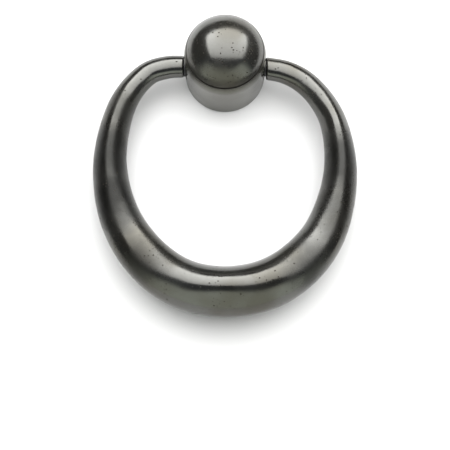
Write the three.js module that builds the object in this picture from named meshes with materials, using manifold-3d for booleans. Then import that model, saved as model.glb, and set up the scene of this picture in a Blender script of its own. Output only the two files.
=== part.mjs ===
// A cast bronze door knocker. A round boss stands on the door and a heavy, hand-formed ring swings
// from its two sides. Inside the boss the ring turns on two headed pins in bushes. A stud screwed
// into the boss's ball runs through the door to a rose and a dome nut on the inside. The thick foot
// of the ring falls on a strike button.
//
// Millimetres, +Z up. The door's outer face is the plane y = 0 and the knocker stands towards -Y.
// The origin is the centre of the boss's back, on the door.

import * as THREE from 'three';
import { mergeVertices } from 'three/addons/utils/BufferGeometryUtils.js';
import Module from 'manifold-3d';

const wasm = await Module();
wasm.setup();

const fitGap = 0.3;        // between pieces that touch
const pressGap = 0.15;     // round a piece that is pressed or screwed into a hole
const runningGap = 0.1;    // round a pin that turns
const doorThickness = 44;
const roundSides = 48;     // facets round a large turned piece
const smallSides = 24;     // facets round a pin or a screw

const boss = {
  radius: 19.4,
  domeCentre: 27.6,        // from the door to the centre of the rounded front
  seam: 34.4,              // from the door to the joint between collar and ball
  seamWidth: 0.4,
  seamChamfer: 0.5,
  cavityRadius: 12,
  webThickness: 6,
  backEdge: 0.5,
  spigotBack: 29,          // from the door to the back of the ball's spigot
};

const stud = { radius: 3.9, ballEnd: 41, insideEnd: 57.4, chamfer: 0.8, webGap: 0.5 };

const gasket = { bore: 6.3, radius: 11.7, thickness: 1 };

const dowel = { radius: 1.5, height: 15.7, depth: 5.7, reach: 6, chamfer: 0.3 };

const rose = { bore: 4.4, radius: 16, thickness: 3.2, edge: 1.2 };

const lockWasher = { bore: 4.3, radius: 7.2, thickness: 1.8, split: 1.2 };

const domeNut = { acrossFlats: 13, hexHeight: 6.5, domeRadius: 6.1, domeHeight: 6, boreDepth: 8.6 };

const pivot = { out: 12, z: -0.5 };   // the ring's axis: its distance from the door and its height

const pin = { radius: 2.5, headRadius: 3.8, headInner: 8.6, headOuter: 11, tip: 27, chamfer: 0.6 };

const bush = { radius: 3.8, inner: 12.4, outer: 18.5 };

const thrustWasher = { bore: 2.8, radius: 4.4, inner: 19.1, outer: 19.7 };

const spotFace = { inner: 18.8, radius: 5.7 };

const grubScrew = {
  radius: 1.5, x: 23.5, length: 2.2, socketRadius: 0.8, socketDepth: 1.1, socketSides: 6,
};

const strike = { radius: 9, thickness: 3.2, edge: 0.8, z: -110.3 };

const strikeScrew = {
  headRadius: 3.6, shankRadius: 1.9, length: 27, tipLength: 5, sunk: 0.2, slotWidth: 1, slotDepth: 1,
};

// The hand-formed ring, from the left arm's end, down round the foot, to the right arm's end.
// The arms are round; along the sides and the foot the front of the bar rises to a soft ridge.
// Each station is the middle of the bar (x across, z up), the bar's radius there, how proud its
// ridge is and how far it leans towards the ring's middle, both as shares of the radius.
const ring = {
  armEnd: 20,
  socketEnd: 27.3,
  endRound: 1,             // the rounding of the arms' end edges
  squareLength: 8,         // over this length the bar turns square to the boss
  ridgeRound: 0.18,        // how soft the ridge is, as a share of the radius
  sides: 20,
  steps: 76,
  stations: [
    [-20, 0, 5.3, 0, 0],
    [-28, -0.5, 5.6, 0, 0],
    [-36.5, -3.3, 5.8, 0.05, 0],
    [-45, -12, 6.3, 0.2, 0],
    [-51, -25, 7, 0.4, 0],
    [-54.5, -49.5, 8.1, 0.42, 0],
    [-49, -75.5, 9.8, 0.15, 0],
    [-36, -95, 11.2, 0.05, 0],
    [-19.5, -106.5, 11.7, 0.2, 0.12],
    [0, -110.3, 12, 0.3, 0.26],
    [19.5, -106.8, 11.9, 0.2, 0.12],
    [35, -97, 11.3, 0.05, 0],
    [47, -81.5, 10.1, 0.15, 0],
    [54.5, -54, 8.1, 0.42, 0],
    [52, -29, 6.6, 0.42, 0],
    [45.5, -16, 6.1, 0.25, 0],
    [37.5, -7.5, 5.9, 0.1, 0],
    [29, -2.9, 5.7, 0, 0],
    [20, -1, 5.5, 0, 0],
  ],
};

const footRadius = Math.max(...ring.stations.map((station) => station[2]));
const footOut = strike.thickness + fitGap + footRadius;   // from the door to the middle of the foot
const ringLean = (footOut - pivot.out) / (pivot.z - strike.z);

// ---------- closed solids, and cutting and joining them ----------

function signedVolume(positions, index) {
  const [a, b, c] = [new THREE.Vector3(), new THREE.Vector3(), new THREE.Vector3()];
  let volume = 0;
  for (let i = 0; i < index.length; i += 3) {
    a.fromBufferAttribute(positions, index[i]);
    b.fromBufferAttribute(positions, index[i + 1]);
    c.fromBufferAttribute(positions, index[i + 2]);
    volume += a.dot(b.cross(c)) / 6;
  }
  return volume;
}

// Joins a geometry's doubled points into one closed skin with its faces pointing out.
function closedSkin(geometry) {
  const bare = geometry.clone();
  bare.deleteAttribute('normal');
  bare.deleteAttribute('uv');
  const skin = mergeVertices(bare, 1e-4);
  const index = [];
  for (let i = 0; i < skin.index.count; i += 3) {
    const [a, b, c] = [skin.index.getX(i), skin.index.getX(i + 1), skin.index.getX(i + 2)];
    if (a !== b && b !== c && c !== a) index.push(a, b, c);
  }
  if (signedVolume(skin.attributes.position, index) < 0) index.reverse();
  skin.setIndex(index);
  return skin;
}

function solid(geometry) {
  const skin = closedSkin(geometry);
  return new wasm.Manifold(new wasm.Mesh({
    numProp: 3,
    vertProperties: new Float32Array(skin.attributes.position.array),
    triVerts: new Uint32Array(skin.index.array),
  }));
}

function skinOf(manifold) {
  const mesh = manifold.getMesh();
  const geometry = new THREE.BufferGeometry();
  geometry.setAttribute('position', new THREE.BufferAttribute(new Float32Array(mesh.vertProperties), 3));
  geometry.setIndex(Array.from(mesh.triVerts));
  return geometry;
}

function cut(geometry, ...tools) {
  return skinOf(tools.reduce((body, tool) => body.subtract(solid(tool)), solid(geometry)));
}

function join(...geometries) {
  return skinOf(geometries.map(solid).reduce((whole, next) => whole.add(next)));
}

// ---------- turned shapes ----------

// Turns a profile about the Y axis. Each point is [radius, distance out from the door's face];
// what lies in the door or behind it has a negative distance.
function turned(profile, sides = roundSides) {
  return new THREE.LatheGeometry(profile.map(([radius, out]) => new THREE.Vector2(radius, -out)), sides);
}

// Turns a profile about the ring's axis. Each point is [radius, x].
function turnedOnPivot(profile) {
  const points = profile.map(([radius, x]) => new THREE.Vector2(radius, x));
  const geometry = new THREE.LatheGeometry(points, smallSides);
  geometry.rotateZ(-Math.PI / 2);
  geometry.translate(0, -pivot.out, pivot.z);
  return geometry;
}

function rodProfile(radius, from, to) {
  return [[0, from], [radius, from], [radius, to], [0, to]];
}

function chamferedRodProfile(radius, from, to, chamfer) {
  return [
    [0, from], [radius - chamfer, from], [radius, from + chamfer],
    [radius, to - chamfer], [radius - chamfer, to], [0, to],
  ];
}

function ringProfile(bore, radius, from, to) {
  return [[bore, from], [radius, from], [radius, to], [bore, to], [bore, from]];
}

// A stretch of the boss's rounded front, between two angles up from its shoulder.
function domeArc(fromAngle, toAngle, steps) {
  const points = [];
  for (let i = 0; i <= steps; i += 1) {
    const angle = fromAngle + (toAngle - fromAngle) * (i / steps);
    points.push([boss.radius * Math.cos(angle), boss.domeCentre + boss.radius * Math.sin(angle)]);
  }
  return points;
}

function domeAngleAt(out) {
  return Math.asin((out - boss.domeCentre) / boss.radius);
}

// ---------- the boss ----------

function makeCollar() {
  const rim = boss.seam - boss.seamWidth / 2;
  const rimRadius = boss.radius * Math.cos(domeAngleAt(rim)) - boss.seamChamfer;
  const studHole = stud.radius + stud.webGap;
  const body = turned([
    [studHole, 0],
    [gasket.bore - fitGap, 0],
    [gasket.bore - fitGap, gasket.thickness + fitGap],
    [gasket.radius + fitGap, gasket.thickness + fitGap],
    [gasket.radius + fitGap, 0],
    [boss.radius - boss.backEdge, 0],
    [boss.radius, boss.backEdge],
    ...domeArc(0, domeAngleAt(rim - boss.seamChamfer), 4),
    [rimRadius, rim],
    [boss.cavityRadius, rim],
    [boss.cavityRadius, boss.webThickness],
    [studHole, boss.webThickness],
    [studHole, 0],
  ]);
  const outside = boss.radius + 1;
  const bushHole = turnedOnPivot(rodProfile(bush.radius + pressGap, -outside, outside));
  const leftSpotFace = turnedOnPivot(rodProfile(spotFace.radius, -outside, -spotFace.inner));
  const rightSpotFace = turnedOnPivot(rodProfile(spotFace.radius, spotFace.inner, outside));
  const dowelHole = turned(rodProfile(dowel.radius + pressGap, -1, dowel.depth + fitGap), smallSides);
  dowelHole.translate(0, 0, dowel.height);
  return cut(body, bushHole, leftSpotFace, rightSpotFace, dowelHole);
}

function makeBall() {
  const back = boss.seam + boss.seamWidth / 2;
  const backRadius = boss.radius * Math.cos(domeAngleAt(back)) - boss.seamChamfer;
  const spigotRadius = boss.cavityRadius - fitGap;
  const studHole = stud.radius + pressGap;
  return closedSkin(turned([
    [0, stud.ballEnd + fitGap],
    [studHole, stud.ballEnd + fitGap],
    [studHole, boss.spigotBack],
    [spigotRadius, boss.spigotBack],
    [spigotRadius, back],
    [backRadius, back],
    ...domeArc(domeAngleAt(back + boss.seamChamfer), Math.PI / 2, 14).slice(0, -1),
    [0, boss.domeCentre + boss.radius],
  ]));
}

function makeGasket() {
  return closedSkin(turned(ringProfile(gasket.bore, gasket.radius, 0, gasket.thickness)));
}

function makeDowel() {
  const profile = chamferedRodProfile(dowel.radius, -dowel.reach, dowel.depth, dowel.chamfer);
  const geometry = turned(profile, smallSides);
  geometry.translate(0, 0, dowel.height);
  return closedSkin(geometry);
}

// ---------- through the door ----------

function makeStud() {
  const profile = chamferedRodProfile(stud.radius, -stud.insideEnd, stud.ballEnd, stud.chamfer);
  return closedSkin(turned(profile, smallSides));
}

function makeRose() {
  const face = -doorThickness;
  const crown = face - rose.thickness;
  return closedSkin(turned([
    [rose.bore, face], [rose.radius, face], [rose.radius, crown + rose.edge],
    [rose.radius - rose.edge / 3, crown + rose.edge / 3], [rose.radius - rose.edge, crown],
    [rose.bore, crown], [rose.bore, face],
  ]));
}

const washerFace = doorThickness + rose.thickness + fitGap;
const nutFace = washerFace + lockWasher.thickness + fitGap;

function makeLockWasher() {
  const { bore, radius, thickness } = lockWasher;
  const washer = turned(ringProfile(bore, radius, -washerFace - thickness, -washerFace));
  const split = new THREE.BoxGeometry(radius, 4 * thickness, lockWasher.split);
  split.translate(bore / 2 + radius / 2, washerFace, 0);
  return cut(washer, split);
}

function makeDomeNut() {
  const hexagon = new THREE.CylinderGeometry(
    domeNut.acrossFlats / Math.sqrt(3), domeNut.acrossFlats / Math.sqrt(3), domeNut.hexHeight, 6,
  );
  hexagon.translate(0, nutFace + domeNut.hexHeight / 2, 0);
  const hexEnd = nutFace + domeNut.hexHeight;
  const dome = [];
  const domeSteps = 8;
  for (let i = 0; i < domeSteps; i += 1) {
    const angle = (Math.PI / 2) * (i / domeSteps);
    dome.push([domeNut.domeRadius * Math.cos(angle), -hexEnd - domeNut.domeHeight * Math.sin(angle)]);
  }
  const cap = turned([
    [0, -hexEnd + 1], [domeNut.domeRadius, -hexEnd + 1], ...dome, [0, -hexEnd - domeNut.domeHeight],
  ], smallSides);
  const boreEnd = -nutFace - domeNut.boreDepth;
  const bore = turned(rodProfile(stud.radius + pressGap, boreEnd, -nutFace + 1), smallSides);
  return cut(join(hexagon, cap), bore);
}

// ---------- the ring and its pivots ----------

// Places along the bar for its sections: close together round the end edges, even between them.
function ringRows(length) {
  const edgeRows = 3;
  const rows = [];
  for (let i = 0; i < edgeRows; i += 1) {
    rows.push(ring.endRound * (1 - Math.cos((Math.PI / 2) * (i / edgeRows))));
  }
  const inner = ring.steps - 2 * edgeRows;
  for (let i = 0; i <= inner; i += 1) rows.push(ring.endRound + (length - 2 * ring.endRound) * (i / inner));
  for (let i = edgeRows - 1; i >= 0; i -= 1) rows.push(length - rows[i]);
  return rows;
}

// A station's ridge and lean at a place along the curve, where 0 is the first station and 1 the last.
function ridgeAt(place) {
  const along = Math.min(place, 1 - 1e-9) * (ring.stations.length - 1);
  const [here, next] = [0, 1].map((step) => ring.stations[Math.floor(along) + step]);
  const share = THREE.MathUtils.smoothstep(along % 1, 0, 1);
  return [3, 4].map((column) => THREE.MathUtils.lerp(here[column], next[column], share));
}

// How far the front of the bar stands out, as a multiple of a round bar's, at a share of the radius
// across it: 1 is the ring's outer edge and -1 its inner edge.
function frontHeight(across, [ridge, lean]) {
  return (1 + ridge * (1 - Math.hypot(across, ring.ridgeRound))) * (1 - lean * across);
}

// Bends a cylinder along the stations. One smooth curve runs through each station's x, z and radius.
function makeRingBar() {
  const shape = new THREE.CatmullRomCurve3(
    ring.stations.map(([x, z, radius]) => new THREE.Vector3(x, z, radius)), false, 'centripetal',
  );
  const length = shape.getLength();
  const rows = ringRows(length);
  const barOut = new THREE.Vector3(0, -1, ringLean).normalize();
  const squareToBoss = new THREE.Vector3(-1, 0, 0);
  const along = (flat) => new THREE.Vector3(flat.x, ringLean * flat.y, flat.y);

  const bar = new THREE.CylinderGeometry(1, 1, 1, ring.sides, ring.steps);
  const points = bar.attributes.position;
  for (let i = 0; i < points.count; i += 1) {
    const distance = rows[Math.round((points.getY(i) + 0.5) * ring.steps)];
    const share = shape.getUtoTmapping(distance / length);
    const station = shape.getPoint(share);
    const fromEnd = Math.min(distance, length - distance);
    const direction = along(shape.getTangent(share)).normalize();
    direction.lerp(squareToBoss, Math.max(0, 1 - fromEnd / ring.squareLength)).normalize();
    const across = new THREE.Vector3().crossVectors(direction, barOut);
    const edge = Math.max(0, ring.endRound - fromEnd);
    const radius = station.z - ring.endRound + Math.sqrt(ring.endRound ** 2 - edge ** 2);
    const place = along(station).add(new THREE.Vector3(0, -pivot.out - ringLean * pivot.z, 0));
    const height = points.getZ(i) > 0 ? frontHeight(points.getX(i), ridgeAt(share)) : 1;
    place.addScaledVector(across, points.getX(i) * radius);
    place.addScaledVector(barOut, points.getZ(i) * radius * height);
    points.setXYZ(i, place.x, place.y, place.z);
  }
  return bar;
}

function makeRing() {
  const socketRadius = pin.radius + pressGap;
  const leftSocket = turnedOnPivot(rodProfile(socketRadius, -ring.socketEnd, -ring.armEnd + 1));
  const rightSocket = turnedOnPivot(rodProfile(socketRadius, ring.armEnd - 1, ring.socketEnd));
  const holeRadius = grubScrew.radius + pressGap;
  const leftHole = grubRod(-1, holeRadius, pin.radius - fitGap, pivot.out);
  const rightHole = grubRod(1, holeRadius, pin.radius - fitGap, pivot.out);
  return cut(makeRingBar(), leftSocket, rightSocket, leftHole, rightHole);
}

// A rod across the bar towards the door, between two distances from the ring's axis.
function grubRod(side, radius, from, to, sides = smallSides) {
  const rod = turned(rodProfile(radius, -to, -from), sides);
  rod.translate(side * grubScrew.x, -pivot.out, pivot.z);
  return rod;
}

function makePin(side) {
  const profile = [
    [0, pin.headInner], [pin.headRadius, pin.headInner], [pin.headRadius, pin.headOuter],
    [pin.radius, pin.headOuter], [pin.radius, pin.tip - pin.chamfer],
    [pin.radius - pin.chamfer, pin.tip], [0, pin.tip],
  ];
  return closedSkin(turnedOnPivot(profile.map(([radius, x]) => [radius, side * x])));
}

function makeBush(side) {
  const bore = pin.radius + runningGap;
  return closedSkin(turnedOnPivot(ringProfile(bore, bush.radius, side * bush.inner, side * bush.outer)));
}

function makeThrustWasher(side) {
  const { bore, radius, inner, outer } = thrustWasher;
  return closedSkin(turnedOnPivot(ringProfile(bore, radius, side * inner, side * outer)));
}

function makeGrubScrew(side) {
  const inner = pin.radius + fitGap;
  const outer = inner + grubScrew.length;
  const { radius, socketRadius, socketDepth, socketSides } = grubScrew;
  const socket = grubRod(side, socketRadius, outer - socketDepth, outer + 1, socketSides);
  return cut(grubRod(side, radius, inner, outer), socket);
}

// ---------- the strike ----------

const screwSlope = strikeScrew.headRadius - strikeScrew.shankRadius;
const screwTop = strike.thickness - strikeScrew.sunk;

function makeStrikeButton() {
  const holeRadius = strikeScrew.shankRadius + pressGap;
  const sinkRadius = strikeScrew.headRadius + pressGap;
  const geometry = turned([
    [holeRadius, 0], [strike.radius, 0], [strike.radius, strike.thickness - strike.edge],
    [strike.radius - strike.edge, strike.thickness], [sinkRadius, strike.thickness],
    [sinkRadius, screwTop - fitGap / 2], [holeRadius, screwTop - fitGap / 2 - screwSlope], [holeRadius, 0],
  ]);
  geometry.translate(0, 0, strike.z);
  return closedSkin(geometry);
}

function makeStrikeScrew() {
  const tip = screwTop - strikeScrew.length;
  const screw = turned([
    [0, tip], [strikeScrew.shankRadius, tip + strikeScrew.tipLength],
    [strikeScrew.shankRadius, screwTop - screwSlope], [strikeScrew.headRadius, screwTop], [0, screwTop],
  ], smallSides);
  const { headRadius, slotDepth, slotWidth } = strikeScrew;
  const slot = new THREE.BoxGeometry(3 * headRadius, 2 * slotDepth, slotWidth);
  slot.translate(0, -screwTop, 0);
  const slotted = cut(screw, slot);
  slotted.translate(0, 0, strike.z);
  return slotted;
}

// ---------- the knocker ----------

const finishes = {
  castBronze: { color: 0x3d3f3b, roughness: 0.28, metalness: 0.85 },
  innerBronze: { color: 0x8a6a3c, roughness: 0.4, metalness: 0.9 },
  steel: { color: 0xa4a7aa, roughness: 0.35, metalness: 1 },
  blackSteel: { color: 0x2b2c2d, roughness: 0.5, metalness: 0.8 },
  nylon: { color: 0xd8d5c8, roughness: 0.6, metalness: 0 },
  rubber: { color: 0x1c1c1c, roughness: 0.9, metalness: 0 },
};

const knocker = new THREE.Group();

function addPiece(name, geometry, finish) {
  const piece = new THREE.Mesh(geometry, new THREE.MeshStandardMaterial(finishes[finish]));
  piece.name = name;
  knocker.add(piece);
}

addPiece('collar', makeCollar(), 'castBronze');
addPiece('ball', makeBall(), 'castBronze');
addPiece('back_gasket', makeGasket(), 'rubber');
addPiece('locating_dowel', makeDowel(), 'steel');
addPiece('through_stud', makeStud(), 'steel');
addPiece('inside_rose', makeRose(), 'castBronze');
addPiece('lock_washer', makeLockWasher(), 'steel');
addPiece('dome_nut', makeDomeNut(), 'castBronze');
addPiece('ring', makeRing(), 'castBronze');
for (const [hand, side] of [['left', -1], ['right', 1]]) {
  addPiece(`${hand}_pivot_pin`, makePin(side), 'steel');
  addPiece(`${hand}_bush`, makeBush(side), 'innerBronze');
  addPiece(`${hand}_thrust_washer`, makeThrustWasher(side), 'nylon');
  addPiece(`${hand}_grub_screw`, makeGrubScrew(side), 'blackSteel');
}
addPiece('strike_button', makeStrikeButton(), 'castBronze');
addPiece('strike_screw', makeStrikeScrew(), 'innerBronze');

export default knocker;
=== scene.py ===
import math

import bmesh
import bpy
from mathutils import Matrix, Vector


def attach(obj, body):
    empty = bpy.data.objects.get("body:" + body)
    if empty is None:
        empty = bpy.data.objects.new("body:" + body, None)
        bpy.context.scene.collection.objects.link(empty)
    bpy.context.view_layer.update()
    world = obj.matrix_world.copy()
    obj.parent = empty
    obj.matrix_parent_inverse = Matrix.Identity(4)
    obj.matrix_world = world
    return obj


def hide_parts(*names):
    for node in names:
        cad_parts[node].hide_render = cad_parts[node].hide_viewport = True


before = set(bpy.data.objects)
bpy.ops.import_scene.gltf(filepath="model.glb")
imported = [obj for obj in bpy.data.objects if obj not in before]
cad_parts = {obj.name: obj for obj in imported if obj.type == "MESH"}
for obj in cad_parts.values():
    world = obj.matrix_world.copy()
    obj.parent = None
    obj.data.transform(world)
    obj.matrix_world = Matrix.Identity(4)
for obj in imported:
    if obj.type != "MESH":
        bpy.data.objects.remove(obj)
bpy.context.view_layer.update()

mm = 0.001
scene = bpy.context.scene
scene.view_settings.view_transform = "Standard"
print("frame loaded:", len(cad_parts), "nodes")


# An output socket. A sum or a product of wires adds its Math node.
class Wire:
    def __init__(self, maker, socket):
        self.maker = maker
        self.socket = socket

    def other(self, name):
        return Wire(self.maker, self.socket.node.outputs[name])

    def sum(self, operation, first, second):
        return self.maker.node("ShaderNodeMath", {"operation": operation}, {0: first, 1: second})

    def __add__(self, value):
        return self.sum("ADD", self, value)

    def __radd__(self, value):
        return self.sum("ADD", value, self)

    def __sub__(self, value):
        return self.sum("SUBTRACT", self, value)

    def __rsub__(self, value):
        return self.sum("SUBTRACT", value, self)

    def __mul__(self, value):
        return self.sum("MULTIPLY", self, value)

    def __rmul__(self, value):
        return self.sum("MULTIPLY", value, self)

    def __truediv__(self, value):
        return self.sum("DIVIDE", self, value)

    def __rtruediv__(self, value):
        return self.sum("DIVIDE", value, self)


# Adds nodes of any type to one tree.
class Maker:
    def __init__(self, tree):
        self.tree = tree
        tree.nodes.clear()

    def node(self, kind, settings=None, values=None, output=0):
        made = self.tree.nodes.new(kind)
        for name, value in (settings or {}).items():
            setattr(made, name, value)
        for name, value in (values or {}).items():
            if isinstance(value, Wire):
                self.tree.links.new(value.socket, made.inputs[name])
            else:
                made.inputs[name].default_value = value
        return Wire(self, made.outputs[output]) if made.outputs else made

    def function(self, operation, first, second=0.0):
        return self.node("ShaderNodeMath", {"operation": operation}, {0: first, 1: second})

    def vector(self, operation, first, second=(0, 0, 0)):
        return self.node("ShaderNodeVectorMath", {"operation": operation}, {0: first, 1: second})

    def scaled(self, vector, factor):
        return self.node("ShaderNodeVectorMath", {"operation": "SCALE"}, {0: vector, "Scale": factor})

    # 0 below the first value, 1 above the second, and smooth between them
    def step(self, value, low, high):
        return self.node("ShaderNodeMapRange", {"interpolation_type": "SMOOTHSTEP"},
                         {"Value": value, "From Min": low, "From Max": high})

    # noise whose blotches are about as wide as the size
    def noise(self, place, size, detail=2.0, roughness=0.5):
        return self.node("ShaderNodeTexNoise", None, {
            "Vector": place, "Scale": 1 / size, "Detail": detail, "Roughness": roughness})

    def blend(self, factor, first, second):
        return self.node("ShaderNodeMix", {"data_type": "RGBA"}, {0: factor, 6: first, 7: second}, 2)


def rgb(red, green, blue):
    return (red, green, blue, 1.0)


def startMaterial(name):
    material = bpy.data.materials.new(name)
    material.use_nodes = True
    return material, Maker(material.node_tree)


def closeMaterial(maker, values, bumpHeight, bumpDepth):
    bump = maker.node("ShaderNodeBump", None, {
        "Strength": 1.0, "Distance": bumpDepth, "Height": bumpHeight})
    surface = maker.node("ShaderNodeBsdfPrincipled", None, {**values, "Normal": bump})
    maker.node("ShaderNodeOutputMaterial", None, {"Surface": surface})


# cast bronze with a dark patina, in metres; most pairs are where something starts and where it is full
bronzeFinish = {
    "light": rgb(0.109, 0.109, 0.103),
    "dark": rgb(0.079, 0.076, 0.066),
    # darker tone of the patches: dull patina, and painted shade
    "sootAndShadeTone": rgb(0.017, 0.017, 0.016),
    # colour of the painted shade in the joints
    "oxide": rgb(0.020, 0.017, 0.012),
    "jointShade": rgb(0.012, 0.011, 0.009),
    "metallic": 0.92,
    "polished": 0.17,                   # roughness where hands keep it bright
    "worn": 0.26,
    "dull": 0.38,                       # roughness of the duller patches
    "mottledRough": 0.08, "speckRough": 0.4, "jointShadeRough": 0.3, "grainRough": 0.22,
    "cloudSize": 0.016,
    "mottleSize": 0.0016,
    "grainSize": 0.00045,
    "brownSize": 0.0272,
    "browning": (0.42, 0.66),
    "polishing": (0.35, 0.68),
    "darkMottle": (0.35, 0.5),          # where mottling starts to darken, and how much
    "speckCell": 0.0021, "speckEdge": (0.05, 0.12), "speckShare": (0.55, 0.57),
    "speckPatch": 0.011, "speckPatchEdge": (0.53, 0.62),
    "dullAndShadedPatches": [],                      # duller, darker places, partly patina and partly painted shade: centre, radius and strength
    "patchEdge": (0.25, 1.25),          # shares of the radius between which a patch fades
    "patchRough": (0.55, 0.6),
    "wander": 0.016, "wanderSize": 0.012,
    "seam": None,                       # how far out the joint of the boss lies
    # widths of the painted shade along the joint and of the fainter band beside it
    "seamLine": (0.00025, 0.0008), "seamShadeBand": (0.0004, 0.0035), "seamShadeStrength": 0.3,
    "crevices": [],                     # places where shade is painted darker: centre and radius
    "creviceEdge": 0.82,
    "mottleRelief": 0.35, "grainRelief": 0.12, "speckRelief": 2.0, "patchRelief": 1.6,
    "bumpDepth": 0.00005,
}


# small scattered specks, in loose groups
def castSpecks(maker, place, finish):
    group = maker.step(maker.noise(place, finish["speckPatch"], 1.0), *finish["speckPatchEdge"])
    cell = maker.node("ShaderNodeTexVoronoi", None, {"Vector": place, "Scale": 1 / finish["speckCell"]})
    pick = maker.node("ShaderNodeSeparateColor", None, {"Color": cell.other("Color")})
    return (1 - maker.step(cell, *finish["speckEdge"])) * (maker.step(pick, *finish["speckShare"]) * group)


# the duller, darker patches, partly patina and partly painted shade, with edges that wander
def dullAndShadedPatchMask(maker, place, finish):
    dull = 0.0
    drift = maker.noise(place, finish["wanderSize"], 3.0).other("Color")
    drift = maker.scaled(maker.vector("SUBTRACT", drift, (0.5, 0.5, 0.5)), finish["wander"])
    wandering = maker.vector("ADD", place, drift)
    full, none = finish["patchEdge"]
    for centre, reach, strength in finish["dullAndShadedPatches"]:
        away = maker.vector("DISTANCE", wandering, centre).other("Value")
        patch = (1 - maker.step(away, reach * full, reach * none)) * strength
        dull = maker.function("MAXIMUM", dull, patch)
    return dull


# painted shade: darker in the joint between collar and ball, in a fainter band beside it, and around the
# ends of the arms
def paintJointShade(maker, place, finish):
    jointShade = 0.0
    if finish["seam"] is not None:
        depth = maker.node("ShaderNodeSeparateXYZ", None, {"Vector": place}, "Y")
        away = maker.function("ABSOLUTE", depth + finish["seam"])
        # a fainter band of painted shade either side of the joint
        stain = finish["seamShadeStrength"] * (1 - maker.step(away, *finish["seamShadeBand"]))
        jointShade = (1 - maker.step(away, *finish["seamLine"])) + stain
    # painted shade around the ends of the arms
    for centre, reach in finish["crevices"]:
        away = maker.vector("DISTANCE", place, centre).other("Value")
        jointShade = jointShade + (1 - maker.step(away, reach * finish["creviceEdge"], reach))
    return maker.function("MINIMUM", jointShade, 1.0)


def patinatedBronze(name, finish):
    material, maker = startMaterial(name)
    place = maker.node("ShaderNodeTexCoord", output="Object")
    cloud = maker.noise(place, finish["cloudSize"], 3.0, 0.55)
    mottle = maker.noise(place, finish["mottleSize"], 3.0, 0.6)
    grain = maker.noise(place, finish["grainSize"], 2.0, 0.6)
    brown = maker.step(maker.noise(place, finish["brownSize"], 2.0), *finish["browning"])
    polish = maker.step(cloud, *finish["polishing"])
    speck = castSpecks(maker, place, finish)
    # duller, darker patches: partly patina, partly painted shade
    dull = dullAndShadedPatchMask(maker, place, finish)
    # painted shade in the boss's joint and around the arms' ends
    jointShade = paintJointShade(maker, place, finish)

    evenly, mottled = finish["patchRough"]
    roughness = finish["polished"] + (finish["worn"] - finish["polished"]) * polish
    roughness = roughness + (finish["dull"] - finish["polished"]) * dull * (evenly + mottled * mottle)
    roughness = roughness + finish["mottledRough"] * (mottle - 0.5) + finish["speckRough"] * speck
    roughness = roughness + finish["grainRough"] * (grain - 0.5) * dull + finish["jointShadeRough"] * jointShade

    darkFrom, darkening = finish["darkMottle"]
    colour = maker.blend(brown, finish["light"], finish["dark"])
    colour = maker.blend((mottle - darkFrom) * darkening, colour, finish["dark"])
    # the patches darken the colour: dull patina, and painted shade
    colour = maker.blend(dull, colour, finish["sootAndShadeTone"])
    # the painted shade darkens the colour in the joints
    colour = maker.blend(jointShade, colour, finish["jointShade"])
    colour = maker.blend(speck, colour, finish["oxide"])
    relief = mottle * finish["mottleRelief"] + grain * finish["grainRelief"]
    relief = relief - speck * finish["speckRelief"] + dull * grain * finish["patchRelief"]
    closeMaterial(maker, {
        "Base Color": colour, "Metallic": finish["metallic"], "Roughness": roughness,
    }, relief, finish["bumpDepth"])
    return material


oxideFinish = {"dark": rgb(0.018, 0.016, 0.012), "light": rgb(0.060, 0.055, 0.045), "metallic": 0.85,
               "rough": 0.20, "stainRough": 0.3, "stainSize": 0.0004, "bumpDepth": 0.00003}


def pitOxide():
    material, maker = startMaterial("pitOxide")
    place = maker.node("ShaderNodeTexCoord", output="Object")
    stain = maker.noise(place, oxideFinish["stainSize"], 2.0)
    closeMaterial(maker, {
        "Base Color": maker.blend(stain, oxideFinish["dark"], oxideFinish["light"]),
        "Metallic": oxideFinish["metallic"],
        "Roughness": oxideFinish["rough"] + oxideFinish["stainRough"] * stain,
    }, stain, oxideFinish["bumpDepth"])
    return material


turnedMetals = {
    "bearingBronze": {"light": rgb(0.56, 0.36, 0.15), "dark": rgb(0.30, 0.17, 0.07), "rough": 0.24},
    "fixingSteel": {"light": rgb(0.52, 0.52, 0.51), "dark": rgb(0.34, 0.33, 0.31), "rough": 0.26},
    "blackSteel": {"light": rgb(0.045, 0.046, 0.050), "dark": rgb(0.018, 0.017, 0.017), "rough": 0.34},
}

turnedWear = {"latheLines": 9000, "stainSize": 0.006, "stainEdge": (0.35, 0.7), "stainRough": 0.18,
              "speckSize": 0.0009, "speckEdge": (0.60, 0.72), "speckRough": 0.12, "speckTone": 0.6,
              "latheRough": 0.1, "latheRelief": 0.6, "bumpDepth": 0.000012}


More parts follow.
